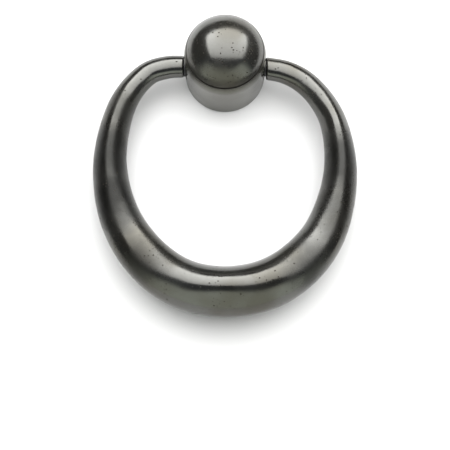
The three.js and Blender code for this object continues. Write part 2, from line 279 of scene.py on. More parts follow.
def turnedMetal(name):
    finish = turnedMetals[name]
    material, maker = startMaterial(name)
    place = maker.node("ShaderNodeTexCoord", output="Object")
    parts = maker.node("ShaderNodeSeparateXYZ", None, {"Vector": place})
    reach = maker.vector("LENGTH", maker.node("ShaderNodeCombineXYZ", None, {
        0: parts, 2: parts.other("Z")})).other("Value")
    lines = turnedWear["latheLines"]
    lathe = maker.node("ShaderNodeTexNoise", {"noise_dimensions": "2D"}, {
        "Vector": maker.node("ShaderNodeCombineXYZ", None, {0: reach * lines, 1: parts.other("Y") * lines}),
        "Scale": 1.0, "Detail": 1.0})
    stain = maker.step(maker.noise(place, turnedWear["stainSize"], 3.0, 0.6), *turnedWear["stainEdge"])
    speck = maker.step(maker.noise(place, turnedWear["speckSize"], 3.0, 0.7), *turnedWear["speckEdge"])
    colour = maker.blend(stain, finish["light"], finish["dark"])
    colour = maker.blend(speck * turnedWear["speckTone"], colour, finish["dark"])
    roughness = finish["rough"] + turnedWear["stainRough"] * stain + turnedWear["speckRough"] * speck
    closeMaterial(maker, {
        "Base Color": colour, "Metallic": 1.0,
        "Roughness": roughness + turnedWear["latheRough"] * (lathe - 0.5),
    }, lathe * turnedWear["latheRelief"] - speck, turnedWear["bumpDepth"])
    return material


softFinishes = {
    "gasketRubber": {"light": rgb(0.020, 0.020, 0.021), "dark": rgb(0.010, 0.010, 0.010), "rough": 0.62},
    "washerNylon": {"light": rgb(0.022, 0.022, 0.024), "dark": rgb(0.012, 0.012, 0.013), "rough": 0.42},
}

softSkin = {"dustSize": 0.004, "dustRough": 0.15, "skinSize": 0.0003, "skinRough": 0.1, "bumpDepth": 0.00002}


def mouldedSoft(name):
    finish = softFinishes[name]
    material, maker = startMaterial(name)
    place = maker.node("ShaderNodeTexCoord", output="Object")
    dust = maker.noise(place, softSkin["dustSize"], 3.0, 0.6)
    skin = maker.noise(place, softSkin["skinSize"], 2.0, 0.6)
    roughness = finish["rough"] + softSkin["dustRough"] * (dust - 0.5) + softSkin["skinRough"] * (skin - 0.5)
    closeMaterial(maker, {
        "Base Color": maker.blend(dust, finish["dark"], finish["light"]), "Roughness": roughness,
    }, skin, softSkin["bumpDepth"])
    return material


seamOut = 0.0344
ringFinish = dict(
    bronzeFinish,
    # duller, darker patina on the bar's sides; the two patches by the lower corners are painted shade where
    # the bar's shape should turn dark
    dullAndShadedPatches=[
        ((-0.056, -0.022, -0.046), 0.022, 0.90), ((-0.051, -0.020, -0.026), 0.015, 0.50),
        ((-0.053, -0.026, -0.066), 0.021, 0.97), ((-0.039, -0.026, -0.100), 0.014, 0.62),
        ((0.056, -0.022, -0.050), 0.019, 0.88), ((0.053, -0.025, -0.070), 0.018, 0.55),
        ((0.040, -0.026, -0.101), 0.014, 0.66)],
    # painted shade around the ends of the arms
    crevices=[((-0.0165, -0.012, -0.0005), 0.0066), ((0.0165, -0.012, -0.0005), 0.0066)])
# painted shade and reflection: the collar's bronze is a darker, more olive copy of the ball's, standing in
# for its dimmer reflection
shadedCollarFinish = dict(
    bronzeFinish, light=rgb(0.083, 0.082, 0.066), dark=rgb(0.069, 0.067, 0.051), seam=seamOut,
    # painted shade around the ends of the arms
    crevices=[((-0.0175, -0.012, -0.0005), 0.0068), ((0.0175, -0.012, -0.0005), 0.0068)])
ballFinish = dict(
    bronzeFinish, sootAndShadeTone=rgb(0.066, 0.060, 0.047), seam=seamOut,
    dullAndShadedPatches=[((0, -0.033, -0.022), 0.018, 0.80)])       # painted shade and reflection: the underside is darker and browner
ballBronze = patinatedBronze("ballBronze", ballFinish)
shadedCollarBronze = patinatedBronze("shadedCollarBronze", shadedCollarFinish)
ringBronze = patinatedBronze("ringBronze", ringFinish)
pitMaterial = pitOxide()
bearingBronze = turnedMetal("bearingBronze")
fixingSteel = turnedMetal("fixingSteel")
blackSteel = turnedMetal("blackSteel")
gasketRubber = mouldedSoft("gasketRubber")
washerNylon = mouldedSoft("washerNylon")
print("finishes made")


# Puts a finished mesh in the scene, with one material unless it brings its own.
def placeMesh(name, mesh, material=None, keepSharp=32):
    mesh.name = name
    if material:
        mesh.materials.clear()
        mesh.materials.append(material)
    mesh.shade_smooth()
    mesh.set_sharp_from_angle(angle=math.radians(keepSharp))
    made = bpy.data.objects.new(name, mesh)
    scene.collection.objects.link(made)
    return made


# Rounds each corner of a profile that has a radius, with a support point beside each arc.
def softened(profile, steps=5):
    support, supportShare, edgeShare = 0.06, 0.05, 0.45
    points = []
    for index, (radius, out, *corner) in enumerate(profile):
        here = Vector((radius, out))
        if not corner:
            points.append(here)
            continue
        before = Vector(profile[index - 1][:2]) - here
        after = Vector(profile[(index + 1) % len(profile)][:2]) - here
        half = before.angle(after) / 2
        reach = corner[0] / math.tan(half)
        reach = min(reach, before.length * edgeShare, after.length * edgeShare)
        start, end = here + before.normalized() * reach, here + after.normalized() * reach
        middle = here + (before.normalized() + after.normalized()).normalized() * reach / math.cos(half)
        spoke = start - middle
        turn = spoke.angle_signed(end - middle)
        points.append(start + before.normalized() * min(support, before.length * supportShare))
        for step in range(steps + 1):
            angle = -turn * step / steps
            points.append(middle + Vector((
                spoke.x * math.cos(angle) - spoke.y * math.sin(angle),
                spoke.x * math.sin(angle) + spoke.y * math.cos(angle))))
        points.append(end + after.normalized() * min(support, after.length * supportShare))
    return [tuple(point) for point in points]


# Turns a profile of [radius, distance out from the door, corner] in mm about a line along Y.
def turned(profile, sides, centre=(0.0, 0.0), closed=False):
    mesh = bmesh.new()
    rings = []
    for radius, out in profile:
        if radius < 1e-6:         # a pole closes with one point
            rings.append([mesh.verts.new((centre[0] * mm, -out * mm, centre[1] * mm))])
            continue
        rings.append([mesh.verts.new((
            (centre[0] + radius * math.cos(2 * math.pi * side / sides)) * mm, -out * mm,
            (centre[1] + radius * math.sin(2 * math.pi * side / sides)) * mm)) for side in range(sides)])
    pairs = list(zip(rings, rings[1:] + rings[:1])) if closed else list(zip(rings, rings[1:]))
    for first, second in pairs:
        for side in range(sides):
            corners = []
            for ring, index in ((first, side), (first, side + 1), (second, side + 1), (second, side)):
                corner = ring[index % len(ring)]
                if corner not in corners:
                    corners.append(corner)
            if len(corners) > 2:
                mesh.faces.new(corners)
    bmesh.ops.recalc_face_normals(mesh, faces=mesh.faces)
    finished = bpy.data.meshes.new("turned")
    mesh.to_mesh(finished)
    mesh.free()
    return finished


# A plain rod between two points, in mm, for cutting holes.
def rodBetween(start, end, radius, sides=48):
    start, end = Vector(start) * mm, Vector(end) * mm
    mesh = bmesh.new()
    bmesh.ops.create_cone(mesh, cap_ends=True, segments=sides, radius1=radius * mm, radius2=radius * mm,
                          depth=(end - start).length)
    turn = Vector((0, 0, 1)).rotation_difference(end - start).to_matrix().to_4x4()
    bmesh.ops.transform(mesh, matrix=turn, verts=mesh.verts)
    bmesh.ops.translate(mesh, vec=(start + end) / 2, verts=mesh.verts)
    finished = bpy.data.meshes.new("rod")
    mesh.to_mesh(finished)
    mesh.free()
    return finished


# A block of some size about a point, in mm, for cutting slots.
def blockAt(centre, size):
    mesh = bmesh.new()
    bmesh.ops.create_cube(mesh, size=1.0)
    bmesh.ops.scale(mesh, vec=Vector(size) * mm, verts=mesh.verts)
    bmesh.ops.translate(mesh, vec=Vector(centre) * mm, verts=mesh.verts)
    finished = bpy.data.meshes.new("block")
    mesh.to_mesh(finished)
    mesh.free()
    return finished


# Turns every face of a closed mesh outwards.
def facesOut(mesh):
    work = bmesh.new()
    work.from_mesh(mesh)
    bmesh.ops.recalc_face_normals(work, faces=work.faces)
    work.to_mesh(mesh)
    work.free()
    return mesh


def evaluatedMesh(thing):
    graph = bpy.context.evaluated_depsgraph_get()
    return bpy.data.meshes.new_from_object(thing.evaluated_get(graph), preserve_all_data_layers=True,
                                           depsgraph=graph)


# Cuts the tools' shapes out of a mesh, or joins them to it.
def carve(mesh, tools, operation="DIFFERENCE"):
    body = bpy.data.objects.new("carving", mesh)
    scene.collection.objects.link(body)
    helpers = []
    for tool in tools:
        helper = bpy.data.objects.new("tool", tool)
        scene.collection.objects.link(helper)
        helpers.append(helper)
        cutter = body.modifiers.new("cut", "BOOLEAN")
        cutter.operation = operation
        cutter.solver = "EXACT"
        cutter.object = helper
    result = evaluatedMesh(body)
    for helper in helpers + [body]:
        bpy.data.objects.remove(helper)
    return result


# Puts a Geometry Nodes tree on a mesh, sets its inputs by identifier, and returns the plain mesh.
def grow(mesh, tree, values):
    body = bpy.data.objects.new("growing", mesh)
    scene.collection.objects.link(body)
    modifier = body.modifiers.new("grow", "NODES")
    modifier.node_group = tree
    for item in tree.interface.items_tree:
        if item.item_type == "SOCKET" and item.in_out == "INPUT" and item.name in values:
            modifier[item.identifier] = values[item.name]
    result = evaluatedMesh(body)
    body.modifiers.clear()
    bpy.data.objects.remove(body)
    return result


def geometryTree(name, sockets):
    tree = bpy.data.node_groups.new(name, "GeometryNodeTree")
    maker = Maker(tree)
    tree.interface.new_socket("Geometry", in_out="INPUT", socket_type="NodeSocketGeometry")
    tree.interface.new_socket("Geometry", in_out="OUTPUT", socket_type="NodeSocketGeometry")
    for label, kind in sockets.items():
        tree.interface.new_socket(label, in_out="INPUT", socket_type="NodeSocket" + kind)
    given = maker.node("NodeGroupInput")
    return tree, maker, given


# casting pits: small bowls cut into a surface, some alone and some in clusters
pitShape = {
    "clusterShift": (0.31, 0.17, 0.05), "clusterEdge": (0.58, 0.66),
    "mostPerSquareMetre": 3.0e6,          # scattered and clustered are shares of this
    "narrowest": (0.7, 0.7, 0.55), "widest": (1.25, 1.0, 0.8),
}


def pitTree():
    tree, maker, given = geometryTree("castingPits", {
        "Scattered": "Float", "Clustered": "Float", "Cluster Size": "Float", "Smallest": "Float",
        "Largest": "Float", "Spacing": "Float", "Seed": "Int", "Skin": "Material", "Oxide": "Material"})
    place = maker.vector("ADD", maker.node("GeometryNodeInputPosition"), pitShape["clusterShift"])
    cloud = maker.noise(place, given.other("Cluster Size"), 1.0)
    inCluster = maker.step(cloud, *pitShape["clusterEdge"])
    density = given.other("Scattered") + inCluster * given.other("Clustered")
    points = maker.node("GeometryNodeDistributePointsOnFaces", {"distribute_method": "POISSON"}, {
        "Mesh": given, "Distance Min": given.other("Spacing"),
        "Density Max": pitShape["mostPerSquareMetre"], "Density Factor": density,
        "Seed": given.other("Seed")})
    size = maker.node("FunctionNodeRandomValue", {"data_type": "FLOAT"}, {
        2: 0.0, 3: 1.0, "Seed": given.other("Seed")}, 1)
    size = given.other("Smallest") + (given.other("Largest") - given.other("Smallest")) * size * size
    squash = maker.node("FunctionNodeRandomValue", {"data_type": "FLOAT_VECTOR"}, {
        0: pitShape["narrowest"], 1: pitShape["widest"], "Seed": given.other("Seed") + 1})
    bowl = maker.node("GeometryNodeMeshIcoSphere", None, {"Radius": 1.0, "Subdivisions": 2})
    bowl = maker.node("GeometryNodeSetMaterial", None, {"Geometry": bowl, "Material": given.other("Oxide")})
    bowls = maker.node("GeometryNodeInstanceOnPoints", None, {
        "Points": points, "Instance": bowl, "Rotation": points.other("Rotation"),
        "Scale": maker.scaled(squash, size)})
    bowls = maker.node("GeometryNodeRealizeInstances", None, {"Geometry": bowls})
    skin = maker.node("GeometryNodeSetMaterial", None, {"Geometry": given, "Material": given.other("Skin")})
    cut = maker.node("GeometryNodeMeshBoolean", {"operation": "DIFFERENCE", "solver": "MANIFOLD"}, {
        "Mesh 1": skin, "Mesh 2": bowls})
    cut = maker.node("GeometryNodeRealizeInstances", None, {"Geometry": cut})
    which = maker.node("GeometryNodeInputMaterialIndex")
    isSkin = maker.node("FunctionNodeCompare", {"data_type": "INT", "operation": "EQUAL"}, {2: which, 3: 0})
    cut = maker.node("GeometryNodeSetMaterial", None, {
        "Geometry": cut, "Selection": isSkin, "Material": given.other("Skin")})
    maker.node("NodeGroupOutput", None, {"Geometry": cut})
    return tree


castingPits = pitTree()


def pitted(mesh, skin, settings):
    return grow(mesh, castingPits, {
        "Scattered": settings["scattered"], "Clustered": settings["clustered"],
        "Cluster Size": settings["clusterSize"] * mm, "Smallest": settings["smallest"] * mm,
        "Largest": settings["largest"] * mm, "Spacing": settings["spacing"] * mm,
        "Seed": settings["seed"], "Skin": skin, "Oxide": pitMaterial})


# the boss: a collar on the door and a ball screwed down on it, in mm
boss = {
    "radius": 19.4, "domeCentre": 27.6, "seam": 34.4, "seamWidth": 0.6, "seamRound": 0.12,
    "cavity": 12, "web": 6, "backEdge": 0.5, "spigotBack": 29, "studHole": 4.4, "ballHole": 4.05,
    "ballHoleEnd": 41.3, "spigotFit": 0.3, "backSupport": 0.3, "sides": 192, "lipSteps": 5, "lipSlope": 1.1,
    "domeStep": 1.6,                      # degrees between the dome's rows
    "gasketSeat": (6.0, 12.0, 1.3),       # inner and outer radius, and depth
    "pivotOut": 12, "pivotZ": -0.5, "bushHole": 3.95, "spotFace": 5.7, "spotFaceFrom": 18.8,
    "dowelZ": 15.7, "dowelHole": 1.65, "dowelDepth": 6,
    "pits": {"scattered": 0.085, "clustered": 0.40, "clusterSize": 9, "smallest": 0.24,
             "largest": 0.46, "spacing": 1.05, "seed": 7},
    "collarPits": {"scattered": 0.02, "clustered": 0.10, "clusterSize": 9, "smallest": 0.13,
                   "largest": 0.30, "spacing": 1.0, "seed": 3},
}


def domeAngle(out):
    return math.asin((out - boss["domeCentre"]) / boss["radius"])


# Points of the rounded front between two distances from the door.
def domePoints(start, end):
    first, last = domeAngle(start), domeAngle(end)
    steps = max(3, round(math.degrees(abs(last - first)) / boss["domeStep"]))
    points = []
    for step in range(steps + 1):
        angle = first + (last - first) * step / steps
        points.append((boss["radius"] * math.cos(angle),
                       boss["domeCentre"] + boss["radius"] * math.sin(angle)))
    return points


def straight(start, end, spacing=1.0):
    steps = max(1, round(math.dist(start, end) / spacing))
    return [(start[0] + (end[0] - start[0]) * step / steps, start[1] + (end[1] - start[1]) * step / steps)
            for step in range(1, steps)]


# The rounded lip of the seam, from a point on the dome in to the flat of the joint.
def seamLip(flat, lipRound, side):
    outer = flat - side * lipRound
    radius = boss["radius"] * math.cos(domeAngle(outer))
    points = []
    for step in range(1, boss["lipSteps"] + 1):
        angle = math.pi / 2 * step / boss["lipSteps"]
        points.append((radius - lipRound * boss["lipSlope"] * (1 - math.cos(angle)),
                       outer + (flat - outer) * math.sin(angle)))
    return points


def makeCollar():
    seat = boss["gasketSeat"]
    rim = boss["seam"] - boss["seamWidth"] / 2
    lip = boss["seamRound"]
    radius = boss["radius"]
    steps = boss["lipSteps"]
    wall = [(radius - boss["backEdge"] * (1 - math.sin(math.pi / 2 * step / steps)),
             boss["backEdge"] * (1 - math.cos(math.pi / 2 * step / steps))) for step in range(steps + 1)]
    profile = softened([
        (boss["studHole"], 0), (seat[0], 0), (seat[0], seat[2]), (seat[1], seat[2]), (seat[1], 0)])
    profile += [(radius - boss["backEdge"] - boss["backSupport"], 0)] + wall
    profile += straight((radius, boss["backEdge"]), (radius, boss["domeCentre"]))
    profile += domePoints(boss["domeCentre"], rim - lip) + seamLip(rim, lip, 1)
    profile += straight(profile[-1], (boss["cavity"], rim)) + [(boss["cavity"], rim)]
    profile += [(boss["cavity"], boss["web"]), (boss["studHole"], boss["web"])]
    mesh = turned(profile, boss["sides"], closed=True)
    outer, faceFrom, spotFace = boss["radius"] + 1, boss["spotFaceFrom"], boss["spotFace"]
    y, z, dowelZ = -boss["pivotOut"], boss["pivotZ"], boss["dowelZ"]
    tools = [
        rodBetween((-outer, y, z), (outer, y, z), boss["bushHole"]),
        rodBetween((-outer, y, z), (-faceFrom, y, z), spotFace, 64),
        rodBetween((faceFrom, y, z), (outer, y, z), spotFace, 64),
        rodBetween((0, 1, dowelZ), (0, -boss["dowelDepth"], dowelZ), boss["dowelHole"], 32),
    ]
    mesh = pitted(carve(mesh, tools), shadedCollarBronze, boss["collarPits"])
    collar = placeMesh("bossCollar", mesh)
    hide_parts("collar")
    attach(collar, "boss")


def makeBall():
    back = boss["seam"] + boss["seamWidth"] / 2
    lip = boss["seamRound"]
    spigot = boss["cavity"] - boss["spigotFit"]
    top = boss["domeCentre"] + boss["radius"]
    lipPoints = list(reversed(seamLip(back, lip, -1)))
    profile = [(0, boss["ballHoleEnd"]), (boss["ballHole"], boss["ballHoleEnd"]),
               (boss["ballHole"], boss["spigotBack"]), (spigot, boss["spigotBack"]), (spigot, back)]
    profile += straight((spigot, back), lipPoints[0]) + lipPoints
    profile += domePoints(back + lip, top - 1e-4)[:-1] + [(0, top)]
    mesh = turned(profile, boss["sides"])
    ball = placeMesh("bossBall", pitted(mesh, ballBronze, boss["pits"]))
    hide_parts("ball")
    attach(ball, "boss")


makeCollar()
makeBall()
print("boss made")


# the ring: a hand-formed bar along a path, thick at its foot, in mm
ring = {
    "out": 12, "z": -0.5, "footOut": 15.5, "footZ": -110.3,
    "endRound": 1.0, "squareLength": 8.0, "rows": 440, "sides": 88, "inset": 0.03,
    "crowding": 0.93,         # how much the rows crowd towards the arms' ends
    "socketFrom": 19, "socketEnd": 27.3, "socket": 2.65,
    "grubAt": 23.5, "grubHole": 1.65, "grubStart": 2.2,
    "ridgeRound": 0.18,       # how soft the ridge is, as a share of the bar's radius
    "waveHeight": 0.10, "waveSize": 17, "waveFrom": 6,
    # from the left arm round to the right arm: x, z, the bar's radius, how proud its ridge is, and
    # how far the ridge leans towards the ring's middle
    "stations": [
        (-19.75, 0, 5.3, 0, 0), (-28, -0.5, 5.6, 0, 0), (-36.5, -3.3, 5.8, 0.05, 0),
        (-45, -12, 6.3, 0.2, 0), (-51, -25, 7, 0.4, 0), (-54.5, -49.5, 8.1, 0.42, 0),
        (-49, -75.5, 9.8, 0.15, 0), (-36, -95, 11.2, 0.05, 0), (-19.5, -106.5, 11.7, 0.2, 0.12),
        (0, -110.3, 12, 0.3, 0.26), (19.5, -106.8, 11.9, 0.2, 0.12), (35, -97, 11.3, 0.05, 0),
        (47, -81.5, 10.1, 0.15, 0), (54.5, -54, 8.1, 0.42, 0), (52, -29, 6.6, 0.42, 0),
        (45.5, -16, 6.1, 0.25, 0), (37.5, -7.5, 5.9, 0.1, 0), (29, -2.9, 5.7, 0, 0),
        (19.75, -1, 5.5, 0, 0)],
    "pits": {"scattered": 0.03, "clustered": 0.36, "clusterSize": 13, "smallest": 0.22,
             "largest": 0.44, "spacing": 1.2, "seed": 11},
}
ringLean = (ring["footOut"] - ring["out"]) / (ring["z"] - ring["footZ"])


# One smooth curve through all the stations, evenly eased between neighbours.
def smoothStations(stations, steps=40):
    points = [Vector(station[:3]) for station in stations]
    points = [points[0] * 2 - points[1]] + points + [points[-1] * 2 - points[-2]]
    smooth = []
    for index in range(len(stations) - 1):
        first, second, third, fourth = points[index:index + 4]
        spans = [math.sqrt((b - a).length) for a, b in ((first, second), (second, third), (third, fourth))]
        leave = ((second - first) / spans[0] - (third - first) / (spans[0] + spans[1])
                 + (third - second) / spans[1]) * spans[1]
        arrive = ((third - second) / spans[1] - (fourth - second) / (spans[1] + spans[2])
                  + (fourth - third) / spans[2]) * spans[1]
        here, following = stations[index], stations[index + 1]
        for step in range(steps + (index == len(stations) - 2)):
            t = step / steps
            ease = t * t * (3 - 2 * t)
            place = (second + leave * t + (-3 * second + 3 * third - 2 * leave - arrive) * t * t
                     + (2 * second - 2 * third + leave + arrive) * t * t * t)
            smooth.append((*place, here[3] + (following[3] - here[3]) * ease,
                           here[4] + (following[4] - here[4]) * ease))
    return smooth


# The bar's path as a line of edges that carries the radius, the ridge and its lean.
def ringPath():
    points = smoothStations(ring["stations"])
    columns = {"barRadius": 2, "ridge": 3, "lean": 4}
    path = bpy.data.meshes.new("ringPath")
    path.from_pydata([(x * mm, -(ring["out"] + ringLean * (ring["z"] - z)) * mm, z * mm)
                      for x, z, *rest in points],
                     [(index, index + 1) for index in range(len(points) - 1)], [])
    for name, column in columns.items():
        layer = path.attributes.new(name, "FLOAT", "POINT")
        for index, point in enumerate(points):
            value = point[column]
            layer.data[index].value = (value - ring["inset"]) * mm if name == "barRadius" else value
    return path


def ringTree():
    tree, maker, given = geometryTree("ringBar", {
        "Rows": "Int", "Sides": "Int", "Lean": "Float", "End Round": "Float",
        "Square Length": "Float", "Ridge Round": "Float", "Wave Height": "Float", "Wave Size": "Float",
        "Skin": "Material"})
    path = maker.node("GeometryNodeMeshToCurve", None, {"Mesh": given})
    length = maker.node("GeometryNodeCurveLength", None, {"Curve": path})
    grid = maker.node("GeometryNodeMeshGrid", None, {
        "Size X": 1.0, "Size Y": 1.0, "Vertices X": given.other("Rows"), "Vertices Y": given.other("Sides")})
    flat = maker.node("ShaderNodeSeparateXYZ", None, {"Vector": maker.node("GeometryNodeInputPosition")})
    along = flat + 0.5
    turn = (flat.other("Y") + 0.5) * (2 * math.pi)

    eased = along - ring["crowding"] * maker.function("SINE", along * (2 * math.pi)) / (2 * math.pi)
    distance = eased * length
    fromEnd = maker.function("MINIMUM", distance, length - distance)

    def sampled(attribute):
        carried = maker.node("GeometryNodeInputNamedAttribute", {"data_type": "FLOAT"}, {"Name": attribute})
        return maker.node("GeometryNodeSampleCurve", {"mode": "LENGTH", "data_type": "FLOAT"}, {
            "Curves": path, "Value": carried, "Length": distance})

    sample = sampled("barRadius")
    edge = maker.function("MAXIMUM", 0.0, given.other("End Round") - fromEnd)
    rounding = maker.function("SQRT", given.other("End Round") * given.other("End Round") - edge * edge)
    radius = sample - given.other("End Round") + rounding
    # the first and last rows close the bar's ends
    inside = maker.function("GREATER_THAN", maker.function("MINIMUM", along, 1 - along), 0.0001)
    radius = radius * inside

    square = maker.function("MAXIMUM", 0.0, 1 - fromEnd / given.other("Square Length"))
    toBoss = maker.scaled(maker.vector("SUBTRACT", (-1, 0, 0), sample.other("Tangent")), square)
    direction = maker.vector("NORMALIZE", maker.vector("ADD", sample.other("Tangent"), toBoss))
    barOut = maker.vector("NORMALIZE", maker.node("ShaderNodeCombineXYZ", None, {
        "X": 0.0, "Y": -1.0, "Z": given.other("Lean")}))
    across = maker.vector("CROSS_PRODUCT", direction, barOut)

    sideways = maker.function("COSINE", turn)
    forward = maker.function("SINE", turn)
    front = maker.function("GREATER_THAN", forward, 0.0)
    soft = given.other("Ridge Round") * given.other("Ridge Round")
    ridge = 1 - maker.function("SQRT", sideways * sideways + soft)
    crest = (1 + sampled("ridge") * front * ridge) * (1 - sampled("lean") * front * sideways)
    skin = maker.vector("ADD", sample.other("Position"), maker.vector("ADD", maker.scaled(
        across, sideways * radius), maker.scaled(barOut, forward * radius)))
    wave = maker.noise(skin, given.other("Wave Size"), 1.0)
    wave = given.other("Wave Height") * wave * maker.step(fromEnd, 0.0, ring["waveFrom"] * mm)
    radius = radius - wave * inside
    offset = maker.vector("ADD", maker.scaled(across, sideways * radius),
                          maker.scaled(barOut, forward * radius * crest))
    bar = maker.node("GeometryNodeSetPosition", None, {
        "Geometry": grid, "Position": maker.vector("ADD", sample.other("Position"), offset)})
    bar = maker.node("GeometryNodeMergeByDistance", None, {"Geometry": bar, "Distance": 0.000002})
    bar = maker.node("GeometryNodeRealizeInstances", None, {"Geometry": bar})
    bar = maker.node("GeometryNodeSetMaterial", None, {"Geometry": bar, "Material": given.other("Skin")})
    maker.node("NodeGroupOutput", None, {"Geometry": bar})
    return tree


def makeRing():
    mesh = grow(ringPath(), ringTree(), {
        "Rows": ring["rows"], "Sides": ring["sides"] + 1, "Lean": ringLean,
        "End Round": ring["endRound"] * mm, "Square Length": ring["squareLength"] * mm,
        "Ridge Round": ring["ridgeRound"],
        "Wave Height": ring["waveHeight"] * mm, "Wave Size": ring["waveSize"] * mm, "Skin": ringBronze})
    y, z, near, far, grubAt = -ring["out"], ring["z"], ring["socketFrom"], ring["socketEnd"], ring["grubAt"]
    grubStart = y + ring["grubStart"]
    tools = [
        rodBetween((-far, y, z), (-near, y, z), ring["socket"]),
        rodBetween((near, y, z), (far, y, z), ring["socket"]),
        rodBetween((-grubAt, grubStart, z), (-grubAt, 0, z), ring["grubHole"], 32),
        rodBetween((grubAt, grubStart, z), (grubAt, 0, z), ring["grubHole"], 32),
    ]
    mesh = pitted(carve(facesOut(mesh), tools), ringBronze, ring["pits"])
    bar = placeMesh("ringBar", mesh)
    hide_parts("ring")
    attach(bar, "ring")


makeRing()
print("ring made")


# through the door: stud, rose, split washer and dome nut, in mm out from the door's face
stud = {"radius": 3.9, "front": 41, "back": -57.4, "pitch": 1.25, "threadDepth": 0.72, "endTaper": 1.6,
        "rows": 900, "sides": 40}
threadFlank = (0.12, 0.86)          # shares of half a turn between which the flank falls


def threadTree():
    tree, maker, given = geometryTree("screwThread", {
        "Radius": "Float", "Front": "Float", "Back": "Float", "Pitch": "Float", "Depth": "Float",
        "End Taper": "Float", "Rows": "Int", "Sides": "Int", "Skin": "Material"})
    grid = maker.node("GeometryNodeMeshGrid", None, {
        "Size X": 1.0, "Size Y": 1.0, "Vertices X": given.other("Rows"), "Vertices Y": given.other("Sides")})
    flat = maker.node("ShaderNodeSeparateXYZ", None, {"Vector": maker.node("GeometryNodeInputPosition")})
    along = flat + 0.5
    turn = flat.other("Y") + 0.5
    out = given.other("Back") + along * (given.other("Front") - given.other("Back"))
    helix = maker.function("FRACT", out / given.other("Pitch") + turn + 200)
    flank = maker.function("ABSOLUTE", helix - 0.5) * 2
    crest, root = threadFlank
    groove = maker.node("ShaderNodeMapRange", None, {"Value": flank, "From Min": crest, "From Max": root})
    fromEnd = maker.function("MINIMUM", out - given.other("Back"), given.other("Front") - out)
    taper = 1 - maker.function("MINIMUM", fromEnd / given.other("End Taper"), 1.0)
    radius = given.other("Radius") - given.other("Depth") * maker.function("MAXIMUM", groove, taper)
    # the first and last rows close the rod's ends
    inside = maker.function("GREATER_THAN", maker.function("MINIMUM", along, 1 - along), 0.00001)
    radius = radius * inside
    angle = turn * (2 * math.pi)
    rod = maker.node("GeometryNodeSetPosition", None, {"Geometry": grid, "Position": maker.node(
        "ShaderNodeCombineXYZ", None, {
            "X": radius * maker.function("COSINE", angle), "Y": 0 - out,
            "Z": radius * maker.function("SINE", angle)})})
    rod = maker.node("GeometryNodeMergeByDistance", None, {"Geometry": rod, "Distance": 0.000002})
    rod = maker.node("GeometryNodeRealizeInstances", None, {"Geometry": rod})
    rod = maker.node("GeometryNodeSetMaterial", None, {"Geometry": rod, "Material": given.other("Skin")})
    maker.node("NodeGroupOutput", None, {"Geometry": rod})
    return tree


threadedRod = threadTree()


def cutThread(size, front, back, skin):
    mesh = grow(bpy.data.meshes.new("rod"), threadedRod, {
        "Radius": size["radius"] * mm, "Front": front * mm, "Back": back * mm,
        "Pitch": size["pitch"] * mm, "Depth": size["threadDepth"] * mm, "End Taper": size["endTaper"] * mm,
        "Rows": size["rows"], "Sides": size["sides"] + 1, "Skin": skin})
    return facesOut(mesh)


def makeStud():
    mesh = cutThread(stud, stud["front"], stud["back"], fixingSteel)
    rod = placeMesh("threadedStud", mesh, fixingSteel, 80)
    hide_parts("through_stud")
    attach(rod, "boss")


door = 44
rose = {"bore": 4.4, "radius": 16, "thickness": 3.2, "edge": 1.2, "sides": 128,
        "step": 0.9, "stepFrom": 1.4, "stepTo": 4.2, "raisedFrom": 5.0,
        "pits": {"scattered": 0.004, "clustered": 0.02, "clusterSize": 12, "smallest": 0.08,
                 "largest": 0.22, "spacing": 1.0, "seed": 5}}
washer = {"bore": 4.3, "radius": 7.2, "thickness": 1.8, "from": door + 3.5, "sides": 96,
          "splitAt": 5.8, "split": (5, 8, 1.2)}
nut = {"acrossFlats": 13, "hexHeight": 6.5, "domeRadius": 6.1, "domeHeight": 6, "bore": 4.05,
       "boreDepth": 8.6, "from": door + 5.6, "sides": 96, "chamfer": 0.75, "faceShare": 0.98, "clear": 0.05}


def makeRose():
    front, back = -door, -door - rose["thickness"]
    step, radius = back + rose["step"], rose["radius"]
    profile = softened([
        (rose["bore"], front), (radius, front, 0.25), (radius, back + rose["edge"], 0.5),
        (radius - rose["stepFrom"], step, 0.5), (radius - rose["stepTo"], step, 0.3),
        (radius - rose["raisedFrom"], back, 0.3), (rose["bore"], back, 0.2)])
    mesh = pitted(turned(profile, rose["sides"], closed=True), shadedCollarBronze, rose["pits"])
    plate = placeMesh("roseInside", mesh)
    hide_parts("inside_rose")
    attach(plate, "boss")


def makeLockWasher():
    front, back = -washer["from"], -washer["from"] - washer["thickness"]
    profile = softened([
        (washer["bore"], front, 0.15), (washer["radius"], front, 0.2), (washer["radius"], back, 0.2),
        (washer["bore"], back, 0.15)])
    mesh = turned(profile, washer["sides"], closed=True)
    split = blockAt((washer["splitAt"], washer["from"], 0), washer["split"])
    spring = placeMesh("splitWasher", carve(mesh, [split]), blackSteel)
    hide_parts("lock_washer")
    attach(spring, "boss")


